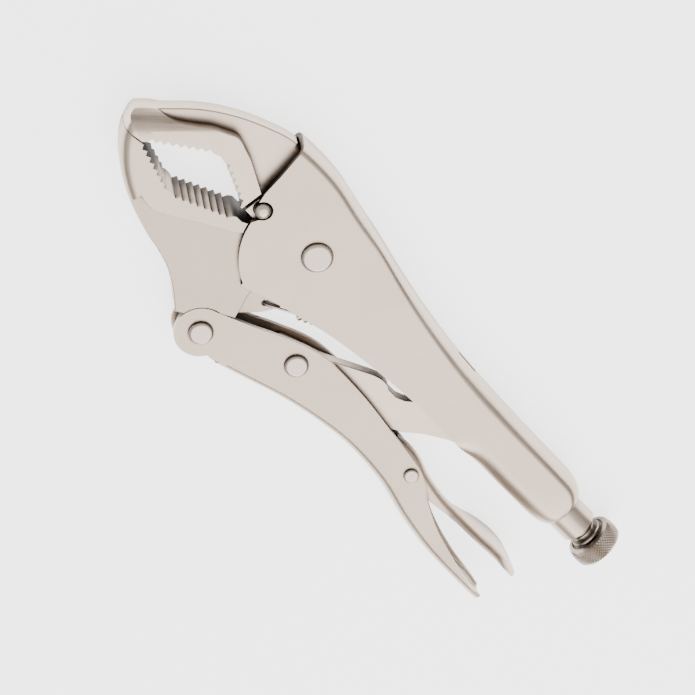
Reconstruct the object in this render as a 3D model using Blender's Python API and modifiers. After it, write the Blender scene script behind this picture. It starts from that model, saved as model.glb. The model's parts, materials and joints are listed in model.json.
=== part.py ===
"""Curved-jaw locking pliers, 250 mm size, lying on their side.

The mechanism lies in the XY plane: +X runs along the adjusting screw towards the knob, +Y towards the
spine of the fixed handle, and every pivot is along Z. The origin is the main pivot, at the height of
the surface that the pliers lie on. Outlines are in millimetres about the main pivot.
"""

import math

import bmesh
import bpy
from mathutils import Matrix, Vector

MM = 0.001
GAP = 0.3  # between pieces that touch or run past each other

# Half widths across the tool, measured from its middle plane
BODY_HALF = 8.0  # fixed handle and tooth bands
SHEET = 1.8  # wall of both handles
CORE_HALF = BODY_HALF - SHEET - GAP  # what turns or sits between the fixed handle's walls
WEB_HALF = 3.2  # thin web of the upper jaw
HANDLE_HALF = 5.2
TAIL_HALF = HANDLE_HALF - SHEET - GAP  # what sits between the movable handle's walls
LUG_HALF = 2.0  # rear lug of the lower jaw, where the spring hooks in
LINK_HALF = 2.5
LEVER_SHEET = 1.3
REST_HALF = 9.6  # face of the main rivet head, on which the pliers lie

# Pivots and other places, from the main pivot
MAIN_PIVOT = (0.0, 0.0)
JAW_PIVOT = (-3.7, -50.2)
LINK_PIVOT = (29.7, -34.1)
LEVER_PIVOT = (92.6, -33.0)
PIN_CENTRE = (-27.0, -2.2)
SPRING_HOLE = (4.3, -26.8)
SPRING_ANCHOR = (68.0, 5.2)
SCREW_Y = -3.6

# Rivets: shank radius, head radius, height of the head's face above the middle plane
MAIN_RIVET = (4.5, 5.75, REST_HALF)
JAW_RIVET = (3.0, 4.55, 6.8)
LINK_RIVET = (3.0, 4.4, 6.8)
LEVER_RIVET = (1.9, 2.8, 6.4)
PIN_RADIUS = 3.1
PIN_HALF = 9.3

FRONT_RADIUS = 27.6  # front edge of the fixed handle's wall, an arc about the main pivot
BOSS_RADIUS = 12.2  # boss of the lower jaw about the main pivot
EAR_RADIUS = 9.6  # front ears of the movable handle about the jaw rivet
TUBE_RADIUS = 6.95
TUBE_END = 152.9
THREAD_RADIUS = TUBE_RADIUS - SHEET - GAP
SCREW_FRONT = 101.3
SCREW_COLLAR = (156.9, 157.9)
KNOB_FRONT = 158.2
KNOB_BACK = 165.8
KNOB_RADIUS = 9.4
TOOTH_PITCH = 3.0
TOOTH_DEPTH = 1.3
NOSE_ROUND = 4.0  # rounding of the jaws' outer edges
BEND_STEPS = 5  # straight pieces in each bend of a sheet
CUTTER_HALF = 12.0  # cutters reach past both sides of the tool
HANDLE_BEND = 3.6  # depth of the movable handle's bends
LEVER_BEND = 2.4
SLIT_HALF = 0.9  # slit in the fixed handle's spine, where the spring's rear hook sits

NICKEL = ((0.62, 0.59, 0.55), 0.34)
DARK_NICKEL = ((0.45, 0.43, 0.40), 0.42)


# ---------------------------------------------------------------- outlines

def arc(centre, radius, start, end, steps):
    """Points along an arc, angles in degrees."""
    angles = [math.radians(start + (end - start) * i / steps) for i in range(steps + 1)]
    return [(centre[0] + radius * math.cos(a), centre[1] + radius * math.sin(a)) for a in angles]


def smooth(points, steps=3):
    """A Catmull-Rom curve through the points, ends included."""
    out = []
    for i in range(len(points) - 1):
        before = Vector(points[max(i - 1, 0)])
        a, b = Vector(points[i]), Vector(points[i + 1])
        after = Vector(points[min(i + 2, len(points) - 1)])
        for k in range(steps):
            t = k / steps
            out.append(tuple(0.5 * (2 * a + (b - before) * t
                                    + (2 * before - 5 * a + 4 * b - after) * t ** 2
                                    + (3 * a - before - 3 * b + after) * t ** 3)))
    return out + [tuple(points[-1])]


def value_at(keys, x):
    """Smooth value at x of a curve given by (x, value) keys."""
    curve = smooth(keys, 8)
    if x <= curve[0][0]:
        return curve[0][1]
    for (xa, ya), (xb, yb) in zip(curve, curve[1:]):
        if xa <= x <= xb:
            return ya + (yb - ya) * (x - xa) / max(xb - xa, 1e-9)
    return curve[-1][1]


def teeth(start, end, side):
    """Saw of V teeth from start to end; side is +1 where the metal is on the left of that direction."""
    a, b = Vector(start), Vector(end)
    count = round((b - a).length / TOOTH_PITCH)
    along = (b - a) / count
    inward = Vector((-along.y, along.x)).normalized() * side * TOOTH_DEPTH
    points = []
    for i in range(count):
        points.append(tuple(a + along * i))
        points.append(tuple(a + along * (i + 0.5) + inward))
    return points + [tuple(b)]


# ---------------------------------------------------------------- solids

def collection(name):
    made = bpy.data.collections.new(name)
    bpy.context.scene.collection.children.link(made)
    return made


def metal(name, finish):
    material = bpy.data.materials.new(name)
    material.use_nodes = True
    shader = material.node_tree.nodes["Principled BSDF"]
    shader.inputs["Base Color"].default_value = (*finish[0], 1.0)
    shader.inputs["Metallic"].default_value = 1.0
    shader.inputs["Roughness"].default_value = finish[1]
    return material


def add(name, mesh):
    """An object about the main pivot in the middle plane, scaled from millimetres."""
    mesh.transform(Matrix.Scale(MM, 4))
    obj = bpy.data.objects.new(name, mesh)
    PARTS.objects.link(obj)
    return obj


def from_curve(name, curve):
    """A curve made a welded mesh object."""
    guide = bpy.data.objects.new(name + "_guide", curve)
    PARTS.objects.link(guide)
    bpy.context.view_layer.update()
    graph = bpy.context.evaluated_depsgraph_get()
    mesh = bpy.data.meshes.new_from_object(guide.evaluated_get(graph))
    bpy.data.objects.remove(guide)
    shape = bmesh.new()
    shape.from_mesh(mesh)
    bmesh.ops.remove_doubles(shape, verts=shape.verts, dist=1e-3)
    bmesh.ops.recalc_face_normals(shape, faces=shape.faces)
    shape.to_mesh(mesh)
    shape.free()
    return add(name, mesh)


def plate(name, outline, half, rounding=0.0):
    """A flat outline, cut to the thickness 2 * half, its edges rounded where rounding is given."""
    curve = bpy.data.curves.new(name, "CURVE")
    curve.dimensions = "2D"
    curve.fill_mode = "BOTH"
    curve.extrude = half - rounding
    curve.bevel_depth = rounding
    curve.offset = -rounding
    curve.bevel_resolution = 2
    spline = curve.splines.new("POLY")
    spline.points.add(len(outline) - 1)
    for point, (x, y) in zip(spline.points, outline):
        point.co = (x, y, 0.0, 1.0)
    spline.use_cyclic_u = True
    return from_curve(name, curve)


def rod(name, centre, radius, half):
    """A round bar along Z."""
    shape = bmesh.new()
    bmesh.ops.create_cone(shape, cap_ends=True, segments=32, radius1=radius, radius2=radius,
                          depth=2 * half, matrix=Matrix.Translation((*centre, 0.0)))
    mesh = bpy.data.meshes.new(name)
    shape.to_mesh(mesh)
    shape.free()
    return add(name, mesh)


def loft(name, sections, thickness):
    """Sheet metal: an open surface through sections of (y, z) points at each x, thickened inwards."""
    shape = bmesh.new()
    rows = [[shape.verts.new((x, y, z)) for y, z in section] for x, section in sections]
    for row, after in zip(rows, rows[1:]):
        for k in range(len(row) - 1):
            shape.faces.new((row[k], row[k + 1], after[k + 1], after[k]))
    bmesh.ops.remove_doubles(shape, verts=shape.verts, dist=1e-3)
    mesh = bpy.data.meshes.new(name)
    shape.to_mesh(mesh)
    shape.free()
    obj = add(name, mesh)
    wall = obj.modifiers.new("wall", "SOLIDIFY")
    wall.thickness = thickness * MM
    wall.offset = -1.0
    wall.use_even_offset = True
    return obj


def turned(name, profile, axis_to=Matrix.Identity(4), steps=32):
    """A profile of (radius, height) points, top to bottom, turned about Z and moved by axis_to."""
    mesh = bpy.data.meshes.new(name)
    mesh.from_pydata([(r, 0.0, h) for r, h in profile], [(i, i + 1) for i in range(len(profile) - 1)], [])
    obj = add(name, mesh)
    screw = obj.modifiers.new("turn", "SCREW")
    screw.axis = "Z"
    screw.steps = screw.render_steps = steps
    screw.use_merge_vertices = True
    screw.merge_threshold = 1e-5
    obj.matrix_world = axis_to
    return obj


def cut(obj, tool, operation="DIFFERENCE"):
    """Cuts, joins or trims obj with tool, which becomes a hidden helper."""
    boolean = obj.modifiers.new(operation.lower(), "BOOLEAN")
    boolean.operation = operation
    boolean.object = tool
    tool.hide_render = True
    tool.display_type = "WIRE"
    PARTS.objects.unlink(tool)
    CUTTERS.objects.link(tool)


def join(obj, *others):
    for other in others:
        cut(obj, other, "UNION")


def stand(obj, material, pivot=None):
    """Finishes a piece: its material, and its place on a pivot's empty, or on the frame itself."""
    obj.data.materials.clear()
    obj.data.materials.append(material)
    obj.parent = PIVOTS.get(pivot, FRAME)
    if pivot is not None:
        obj.data.transform(Matrix.Translation(Vector((*pivot, 0.0)) * -MM))
    for modifier in obj.modifiers:
        if modifier.type == "BOOLEAN":
            modifier.object.parent = FRAME


def bend_reach(half, depth, sheet):
    """How far a bend of this depth reaches in, its tightest radius kept above the sheet's thickness."""
    return min(half, depth ** 2 / (sheet + 0.2))


def channel(edge, crown, half, most, sheet):
    """Section of a channel, from one free edge (at height edge) round the crown to the other."""
    depth = min(most, abs(crown - edge) - 0.1)
    reach = bend_reach(half, depth, sheet)
    inward = math.copysign(depth, crown - edge)
    side = [(edge, half)]
    for k in range(BEND_STEPS + 1):
        angle = math.radians(90 * k / BEND_STEPS)
        side.append((crown - inward * (1 - math.sin(angle)), half - reach * (1 - math.cos(angle))))
    return side + [(y, -z) for y, z in side[::-1]]


# ---------------------------------------------------------------- fixed handle

CREST = [(-38, 24.2), (-27, 24.8), (-15, 24.3), (0, 21.4), (15, 18.3), (30, 15.2), (45, 12.7),
         (60, 10.8), (80, 9.4), (100, 8.6), (120, 8.1), (134, 7.8)]
CREASE = [(-38, 21.0), (-27, 21.6), (-15, 21.0), (0, 18.2), (15, 16.1), (30, 12.6), (45, 9.6),
          (60, 7.3), (80, 5.0), (100, 4.2), (120, 4.2), (134, 4.0)]
LOWER_EDGE = [(-38, -28.0), (-12, -27.2), (-3, -24.5), (10, -21.0), (30, -16.4), (55, -13.4),
              (80, -12.0), (100, -12.8), (112, -13.4), (134, -13.3)]
HANDLE_STATIONS = [-38, -30, -22, -14, -6, 2, 12, 24, 36, 48, 60, 72, 84, 92, 98, 104, 110, 118, 126, 134]
CLOSE_FROM, CLOSE_TO = 92.0, 110.0  # where the channel's edges fold in and meet
SHOULDER_END = 143.0


def fixed_handle_section(crest, crease, lower, half, closed):
    """Half a section, from the crest to the lower edge: arch, flat side, and the folded-in lower part."""
    arch = crest - crease
    reach = bend_reach(half, arch, SHEET)
    fold = min(half, crease - lower)
    points = [(crest, 0.0)]
    for k in range(BEND_STEPS + 1):
        angle = math.radians(90 * k / BEND_STEPS)
        points.append((crease + arch * math.cos(angle), half - reach * (1 - math.sin(angle))))
    for k in range(BEND_STEPS + 1):
        angle = math.radians(90 * k / BEND_STEPS)
        z = half * (1 - closed * (1 - math.cos(angle)))
        points.append((lower + fold * (1 - math.sin(angle)), z))
    return points


def fixed_handle_sections():
    """Sections from the front of the channel to the end of the screw tube."""
    places = []
    for x in HANDLE_STATIONS:
        closed = min(max((x - CLOSE_FROM) / (CLOSE_TO - CLOSE_FROM), 0.0), 1.0)
        closed = closed * closed * (3 - 2 * closed)
        heights = (value_at(CREST, x), value_at(CREASE, x), value_at(LOWER_EDGE, x))
        places.append((x, *heights, BODY_HALF, closed))
    start = places[-1]
    tube = (SCREW_Y + TUBE_RADIUS, SCREW_Y, SCREW_Y - TUBE_RADIUS, TUBE_RADIUS)
    for angle in (30, 50, 65, 80, 90):
        part = 1 - math.cos(math.radians(angle))
        x = start[0] + (SHOULDER_END - start[0]) * math.sin(math.radians(angle))
        places.append((x, *[a + (b - a) * part for a, b in zip(start[1:5], tube)], 1.0))
    places.append((TUBE_END, *tube, 1.0))
    sections = []
    for x, crest, crease, lower, half, closed in places:
        side = fixed_handle_section(crest, crease, lower, half, closed)
        sections.append((x, [(y, -z) for y, z in side[::-1]] + side[1:]))
    return sections


def fixed_handle():
    """Folded channel: diagonal front edge with the pin notch, rivet hole and the spring's slit."""
    handle = loft("fixed_handle", fixed_handle_sections(), SHEET)
    front = [(-60, 40), (-36, 40), (-35.4, 24), (-34.6, 19), (-33.0, 11), (-31.8, 3)]
    notch = arc(PIN_CENTRE, 3.7, 160, -62, 9)
    edge = arc(MAIN_PIVOT, FRONT_RADIUS, 197, 249, 9)
    cut(handle, plate("front_trim", front + notch + edge + [(-9.6, -60), (-60, -60)], CUTTER_HALF))
    cut(handle, rod("main_rivet_hole", MAIN_PIVOT, MAIN_RIVET[0] + GAP, CUTTER_HALF))
    cut(handle, plate("spring_slit", [(68, 14), (78, 14), (78, 5), (68, 5)], SLIT_HALF))
    return handle


# ---------------------------------------------------------------- jaws

NOSE = [(-84.4, -5.4), (-86.2, -7.4), (-86.5, -10.4), (-85.4, -13.8), (-83.0, -18.6), (-79.7, -22.4),
        (-75.2, -26.4), (-70.2, -29.8), (-64.5, -32.8), (-58.4, -35.2), (-51.5, -37.3), (-44.7, -39.0),
        (-37.3, -40.4)]


def nose_envelope(name):
    """The rounded outer form that both jaws are trimmed to."""
    closing = [(-31, -43), (-10, -75), (60, -75), (60, 45), (-50, 45), (-72, 12)]
    return plate(name, smooth(NOSE, 2) + closing, BODY_HALF, NOSE_ROUND)


def upper_jaw():
    """Wide tooth band and nose, thin web behind it, and a thick root between the handle's walls."""
    front_flank = teeth((-75.3, -14.1), (-56.1, -0.2), +1)
    rear_flank = teeth((-50.5, 0.3), (-34.2, -6.2), +1)
    top = [(-35.4, 3.2), (-40.4, 5.5), (-45.1, 7.6), (-49.5, 8.9), (-53.0, 9.9), (-55.5, 9.7),
           (-58.8, 8.1), (-63.2, 5.8), (-67.4, 2.4), (-73.5, -2.2), (-77.6, -5.6), (-80.8, -7.6)]
    parting = [(-88, -17.2), (-81.4, -16.2), (-76.6, -15.4)]
    band = (parting + front_flank + [(-53.4, 0.9)] + rear_flank + [(-33.6, -7.0), (-32.8, -7.0), (-32.6, 1.8)]
            + smooth(top, 2) + [(-82.5, -5.0), (-88, -5.0)])
    jaw = plate("upper_jaw", band, BODY_HALF)
    cut(jaw, nose_envelope("upper_envelope"), "INTERSECT")
    spine = smooth([(-84.6, -7.6), (-82.3, -5.6), (-78.4, -1.6), (-72.9, 4.2), (-67.5, 8.8), (-61.4, 12.9),
                    (-54.7, 16.5), (-46.5, 19.9), (-41.5, 21.6), (-36.9, 22.5)], 2)
    below = [(7, 14.0)] + arc(MAIN_PIVOT, BOSS_RADIUS + 0.4, 60, 188, 10) + [
        (-23.4, -7.1), (-32.0, -7.1), (-36, -2), (-52, 6), (-66, -3), (-78, -12), (-84, -11)]
    web_top = [(-36.2, 21.4), (-26, 21.9), (-15, 21.4), (-2, 18.8), (7, 16.6)]
    web = plate("web", spine + web_top + below, WEB_HALF)
    root_top = [(-29.8, 18.6), (-14, 18.6), (-2, 16.6), (7, 14.8)]
    root_foot = [(-23.4, -7.1), (-30.6, -7.1), (-30.6, 3.0)]
    root = plate("root", [(-27.2, 6.0)] + root_top + below[:12] + root_foot, CORE_HALF)
    join(jaw, web, root)
    cut(jaw, rod("pin_hole", PIN_CENTRE, PIN_RADIUS + GAP, CUTTER_HALF))
    return jaw


def lower_jaw():
    """Tooth band on a thick neck, a boss on the main rivet, a narrow tail and a thin rear lug."""
    front_flank = teeth((-75.4, -15.6), (-56.0, -20.6), -1)
    rear_flank = teeth((-53.6, -20.6), (-33.0, -11.3), -1)
    rear = [(-31.6, -10.3), (-29.0, -10.3)] + arc(MAIN_PIVOT, FRONT_RADIUS + 0.7, 199, 207, 3)
    below = smooth([(-27.6, -15.0), (-37.2, -20.5), (-43.6, -24.4), (-48.5, -27.4), (-52.9, -29.6),
                    (-57.0, -30.0), (-60.9, -29.3)], 2)
    band = ([(-88, -17.5), (-81.4, -16.5)] + front_flank + rear_flank + rear + below
            + [(-62, -50), (-88, -50)])
    jaw = plate("lower_jaw", band, BODY_HALF)
    neck_front = smooth([(-60, -40.0), (-44.7, -38.9), (-37.3, -40.2), (-31.9, -41.8), (-26.2, -44.6),
                         (-21.1, -47.9), (-16.6, -51.2)], 2)
    around_ear = arc(JAW_PIVOT, EAR_RADIUS + 0.5, 176, 96, 6)
    neck_rear = [(-1.2, -38.2), (0.0, -37.4), (-1.9, -32.6), (-3.7, -28.8), (-4.6, -25.3), (-3.0, -19),
                 (3, -15)]
    boss = arc(MAIN_PIVOT, BOSS_RADIUS, -60, 194, 18)
    neck_top = [(-23, -7.7), (-27.0, -9.6), (-35, -13.6), (-48, -19.6), (-56, -22.6), (-64, -21)]
    neck = plate("neck", neck_front + around_ear + neck_rear + boss + neck_top, CORE_HALF)
    join(jaw, neck)
    cut(jaw, nose_envelope("lower_envelope"), "INTERSECT")
    tail_end = arc(JAW_PIVOT, 8.2, 170, 400, 16)
    tail = plate("tail", tail_end + [(-2.4, -35), (-12, -35), (-14, -42)], TAIL_HALF)
    lug_outline = [(-8, -16), (6, -17), (10.0, -21), (9.4, -24.4), (7.8, -27.6), (6.2, -30.4), (3.4, -33.6),
                   (0.4, -37.0), (-8, -36)]
    lug = plate("lug", lug_outline, LUG_HALF)
    join(jaw, tail, lug)
    cut(jaw, rod("main_bore", MAIN_PIVOT, MAIN_RIVET[0] + GAP, CUTTER_HALF))
    cut(jaw, rod("jaw_bore", JAW_PIVOT, JAW_RIVET[0] + GAP, CUTTER_HALF))
    cut(jaw, rod("spring_bore", SPRING_HOLE, 1.4, CUTTER_HALF))
    return jaw


# ---------------------------------------------------------------- movable handle, link and lever

HANDLE_TOP = [(-15, -46.5), (-7.5, -41.6), (-2.8, -39.5), (8.1, -34.9), (15.2, -31.5), (28.2, -26.2),
              (39.6, -24.4), (56.8, -24.8), (72.8, -26.6), (92.1, -29.2), (100, -32.3), (105, -35.6),
              (117.7, -41.0), (133.7, -45.0), (149, -46.9)]
HANDLE_BOTTOM = [(8, -56.2), (21.7, -52.0), (37.9, -47.1), (55.7, -43.6), (70, -42.4), (87.7, -43.6),
                 (104.5, -47.3), (121, -49.6), (137.6, -49.9), (149, -49.4)]
MOVABLE_STATIONS = [10.4, 16, 24, 32, 42, 52, 62, 72, 82, 92, 98, 104, 110, 117, 125, 133, 141, 149]
HANDLE_WIDTH = [(10, HANDLE_HALF), (112, HANDLE_HALF), (128, 5.8), (142, 6.6), (149, 4.6)]
EARS_END = 13.0  # the ears overlap the channel up to here


def movable_handle():
    """Long channel with two round ears at the front, nothing between the ears."""
    sections = []
    for x in MOVABLE_STATIONS:
        size = (value_at(HANDLE_TOP, x), value_at(HANDLE_BOTTOM, x), value_at(HANDLE_WIDTH, x))
        sections.append((x, channel(*size, HANDLE_BEND, SHEET)))
    handle = loft("movable_handle", sections, SHEET)
    web_start = MOVABLE_STATIONS[0]
    join(handle, plate("ears", arc(JAW_PIVOT, EAR_RADIUS, 104, 333, 20) + [
        (7.4, -54.4), (web_start, -53.2), (EARS_END, -52.6), (EARS_END, -32.6), (8.1, -34.9), (-2.8, -39.5)],
        HANDLE_HALF))
    cut(handle, plate("ear_gap", [(-20, -30), (EARS_END + 1, -30), (EARS_END + 1, -50), (web_start, -50),
                                  (web_start, -70), (-20, -70)], HANDLE_HALF - SHEET))
    cut(handle, rod("jaw_rivet_hole", JAW_PIVOT, JAW_RIVET[0] + GAP, CUTTER_HALF))
    cut(handle, rod("link_rivet_hole", LINK_PIVOT, LINK_RIVET[0] + GAP, CUTTER_HALF))
    cut(handle, rod("lever_rivet_hole", LEVER_PIVOT, LEVER_RIVET[0] + GAP, CUTTER_HALF))
    return handle


def toggle_link():
    """Flat strut: hump and notch on its upper edge, broad belly, round tip in front of the screw."""
    top = smooth([(19.5, -31.6), (28.2, -28.4), (36.5, -25.6), (44.9, -21.4), (50.1, -18.8), (54.0, -17.0),
                  (57.5, -16.2), (60.4, -16.5)], 2)
    notch = [(61.4, -17.2), (65.6, -17.2), (68.8, -15.9)]
    tip = [(80, -6.0), (90, -0.6)] + arc((94.6, SCREW_Y), 3.4, 90, -50, 6)
    below = [(97.4, -9.0), (96.0, -13.4), (93.1, -14.3), (87.2, -17.7), (82.6, -20.8), (78.6, -24.4),
             (72, -28.6), (58, -33.6), (44, -38.2), (33, -40.4), (26, -39.6), (20.5, -36.6), (18.0, -33.6)]
    link = plate("toggle_link", top + notch + tip + below, LINK_HALF)
    cut(link, rod("link_bore", LINK_PIVOT, LINK_RIVET[0] + GAP, CUTTER_HALF))
    return link


LEVER_CROWN = [(79.4, -27.4), (85, -26.6), (92, -27.4), (100, -29.8), (111, -31.4), (120, -31.0),
               (128, -30.2), (135, -29.5), (141, -29.7), (147, -31.0), (152, -32.6)]
LEVER_EDGE = [(79.4, -31.4), (85, -36.0), (92.6, -37.8), (104.8, -36.0), (112, -35.0), (120, -33.6),
              (128, -32.6), (138, -32.0), (146, -33.0), (152, -34.4)]
LEVER_WIDTH = [(79.4, TAIL_HALF), (110, TAIL_HALF), (118, 4.8), (127, 8.3), (134, 9.3), (141, 8.8),
               (147, 6.0), (152, 2.0)]
LEVER_STATIONS = [79.4, 82, 85, 89, 93, 98, 104, 110, 115, 120, 125, 130, 135, 140, 144, 148, 152]


def release_lever():
    """Stamped trough with a rivet through its sides, opening out into a dished thumb paddle."""
    sections = []
    for x in LEVER_STATIONS:
        edge, crown, half = (value_at(keys, x) for keys in (LEVER_EDGE, LEVER_CROWN, LEVER_WIDTH))
        sections.append((x, channel(edge, crown, half, LEVER_BEND, LEVER_SHEET)[::-1]))
    lever = loft("release_lever", sections, LEVER_SHEET)
    cut(lever, rod("lever_bore", LEVER_PIVOT, LEVER_RIVET[0] + GAP, CUTTER_HALF))
    return lever


# ---------------------------------------------------------------- rivets, pin, spring and screw

def rivet(name, pivot, shank, head, face, wall):
    """A rivet through the whole width, a flat head with rounded rim outside each wall."""
    under = wall + GAP
    crown = [(head, under), (head, face - 0.5), (head - 0.25, face - 0.15), (head - 0.7, face), (0.0, face)]
    profile = crown[::-1] + [(shank, under), (shank, -under)] + [(r, -h) for r, h in crown]
    return turned(name, profile, Matrix.Translation((pivot[0] * MM, pivot[1] * MM, 0.0)))


def locating_pin():
    """Headless pin with domed ends."""
    dome = [(PIN_RADIUS * math.sin(math.radians(a)), PIN_HALF - 1.6 * (1 - math.cos(math.radians(a))))
            for a in range(0, 91, 18)]
    profile = dome + [(r, -h) for r, h in dome[::-1]]
    return turned("locating_pin", profile, Matrix.Translation((PIN_CENTRE[0] * MM, PIN_CENTRE[1] * MM, 0.0)))


COIL_RADIUS = 2.7
WIRE_RADIUS = 0.55
COIL_TURNS = 20
COIL_START, COIL_END = 0.17, 0.86  # along the line from the spring's hole to its anchor


def tension_spring():
    """One wire: hook in the lug's hole, straight shank, close coil, and a hook at the anchor slit."""
    start, end = Vector((*SPRING_HOLE, 0.0)), Vector((*SPRING_ANCHOR, 0.0))
    along = (end - start).normalized()
    across = Vector((0.0, 0.0, 1.0)).cross(along)
    length = (end - start).length
    side = Vector((0.0, 0.0, 1.0))
    points = [start - side * 3.4, start + side * 2.4, start + along * 0.7 + side * 3.2,
              start + along * 5.0 + side * 2.8]
    steps = COIL_TURNS * 8
    for i in range(steps + 1):
        turn = 2 * math.pi * i / 8
        at = start + along * length * (COIL_START + (COIL_END - COIL_START) * i / steps)
        points.append(at + COIL_RADIUS * (side * math.cos(turn) + across * math.sin(turn)))
    points += [end - along * 5.0 + side * 1.6, end - along * 2.0, end]
    curve = bpy.data.curves.new("tension_spring", "CURVE")
    curve.dimensions = "3D"
    curve.bevel_depth = WIRE_RADIUS
    curve.bevel_resolution = 2
    curve.use_fill_caps = True
    spline = curve.splines.new("POLY")
    spline.points.add(len(points) - 1)
    for point, place in zip(spline.points, points):
        point.co = (*place, 1.0)
    return from_curve("tension_spring", curve)


ALONG_X = Matrix.Translation((0.0, SCREW_Y * MM, 0.0)) @ Matrix.Rotation(math.radians(90), 4, "Y")


def adjusting_screw():
    """Shank with a rounded end, thin collar, and the spigot that the knob sits on."""
    collar_front, collar_back = SCREW_COLLAR
    profile = [(0.0, KNOB_BACK - 2.4), (2.8, KNOB_BACK - 2.4), (2.8, collar_back), (6.0, collar_back),
               (6.0, collar_front), (THREAD_RADIUS, collar_front), (THREAD_RADIUS, SCREW_FRONT + 1.2),
               (THREAD_RADIUS - 1.4, SCREW_FRONT), (0.0, SCREW_FRONT)]
    return turned("adjusting_screw", profile, ALONG_X)


def knurled_knob():
    """Disc knob with a dished front face and a blind bore."""
    front, back, rim = KNOB_FRONT, KNOB_BACK, KNOB_RADIUS
    profile = [(0.0, back), (rim - 1.6, back), (rim - 0.7, back - 0.3), (rim, back - 1.0), (rim, front + 0.7),
               (rim - 0.6, front), (7.4, front), (6.6, front + 1.4), (3.1, front + 1.9), (3.1, back - 2.0),
               (0.0, back - 2.0)]
    return turned("knurled_knob", profile, ALONG_X)


# ---------------------------------------------------------------- assembly

def pivot_empty(name, place, parent=None):
    """An empty on a joint's axis; the first one lifts the tool on to the surface that it lies on."""
    empty = bpy.data.objects.new(name, None)
    PARTS.objects.link(empty)
    empty.location = (place[0] * MM, place[1] * MM, 0.0 if parent else REST_HALF * MM)
    empty.parent = parent
    return empty


for old in list(bpy.data.objects):
    bpy.data.objects.remove(old)
PARTS = collection("locking_pliers")
CUTTERS = collection("cutters")
FRAME = pivot_empty("frame", MAIN_PIVOT)
PIVOTS = {
    MAIN_PIVOT: pivot_empty("main_pivot", MAIN_PIVOT, FRAME),
    JAW_PIVOT: pivot_empty("jaw_pivot", JAW_PIVOT, FRAME),
    LINK_PIVOT: pivot_empty("link_pivot", LINK_PIVOT, FRAME),
    LEVER_PIVOT: pivot_empty("lever_pivot", LEVER_PIVOT, FRAME),
}
plated = metal("satin_nickel", NICKEL)
dark = metal("dark_nickel", DARK_NICKEL)

stand(fixed_handle(), plated, MAIN_PIVOT)
stand(upper_jaw(), plated, MAIN_PIVOT)
stand(lower_jaw(), plated, MAIN_PIVOT)
stand(movable_handle(), plated, JAW_PIVOT)
stand(toggle_link(), plated, LINK_PIVOT)
stand(release_lever(), plated, LEVER_PIVOT)
stand(rivet("main_rivet", MAIN_PIVOT, *MAIN_RIVET, BODY_HALF), plated)
stand(rivet("jaw_rivet", JAW_PIVOT, *JAW_RIVET, HANDLE_HALF), plated)
stand(rivet("link_rivet", LINK_PIVOT, *LINK_RIVET, HANDLE_HALF), plated)
stand(rivet("lever_rivet", LEVER_PIVOT, *LEVER_RIVET, HANDLE_HALF), plated)
stand(locating_pin(), dark)
stand(tension_spring(), dark)
stand(adjusting_screw(), dark)
stand(knurled_knob(), plated)
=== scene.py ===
import json
import math

import bmesh
import bpy
from mathutils import Matrix, Vector


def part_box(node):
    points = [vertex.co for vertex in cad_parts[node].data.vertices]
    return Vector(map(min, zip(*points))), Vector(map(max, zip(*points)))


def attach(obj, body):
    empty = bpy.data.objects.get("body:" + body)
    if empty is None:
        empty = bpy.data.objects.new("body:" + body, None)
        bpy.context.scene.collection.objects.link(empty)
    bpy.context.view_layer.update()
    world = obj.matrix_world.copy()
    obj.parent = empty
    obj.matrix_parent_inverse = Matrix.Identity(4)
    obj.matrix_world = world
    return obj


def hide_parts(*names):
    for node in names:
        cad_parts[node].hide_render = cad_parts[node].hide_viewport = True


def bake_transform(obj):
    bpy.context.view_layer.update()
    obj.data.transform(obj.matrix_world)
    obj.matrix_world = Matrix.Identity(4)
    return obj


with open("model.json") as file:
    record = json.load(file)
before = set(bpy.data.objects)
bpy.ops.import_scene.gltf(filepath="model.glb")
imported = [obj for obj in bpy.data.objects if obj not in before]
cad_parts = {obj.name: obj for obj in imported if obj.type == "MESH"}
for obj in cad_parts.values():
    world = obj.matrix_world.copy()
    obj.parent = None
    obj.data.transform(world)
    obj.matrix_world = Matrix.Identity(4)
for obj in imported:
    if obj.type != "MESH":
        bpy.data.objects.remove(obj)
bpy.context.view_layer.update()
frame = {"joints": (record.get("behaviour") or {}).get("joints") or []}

# ---------------------------------------------------------------- fixed handle
# A strip of 1.8 mm steel folded into a channel round the jaws and closed into a tube at the back, where it
# holds the adjusting screw. It is blanked first, so its front edge and its holes have square, slightly
# broken edges, and it is tumbled and nickel plated to an even satin.

MM = 0.001
MIDDLE = sum((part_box("main_rivet")[side].z for side in (0, 1))) / 2
PIVOT = {joint["name"]: Vector(joint["pos_m"]) / MM for joint in frame["joints"] if "pos_m" in joint}
MAIN, JAW, LINK, LEVER = (
    tuple(PIVOT[name][:2]) for name in ("jaw_pivot", "handle_pivot", "link_pivot", "release_pivot"))
SHEET = 1.8
BODY_HALF = 8.0
CLEARANCE = 0.3
MAIN_HOLE, RIVET_HOLE, LEVER_HOLE = 4.8, 3.3, 2.2
WELD = 0.002  # points nearer than this are one point
SHARP = math.radians(40)
# how far the painted shade in corners and hollows reaches
CORNER_REACH, HOLLOW_REACH = 0.0025, 0.012  # metres
# the first colour darkens the base colour of sunk faces as painted shade
SUNK_SHADE, FULL = (0.84, 0.83, 0.82), (1.0, 1.0, 1.0)


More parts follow.
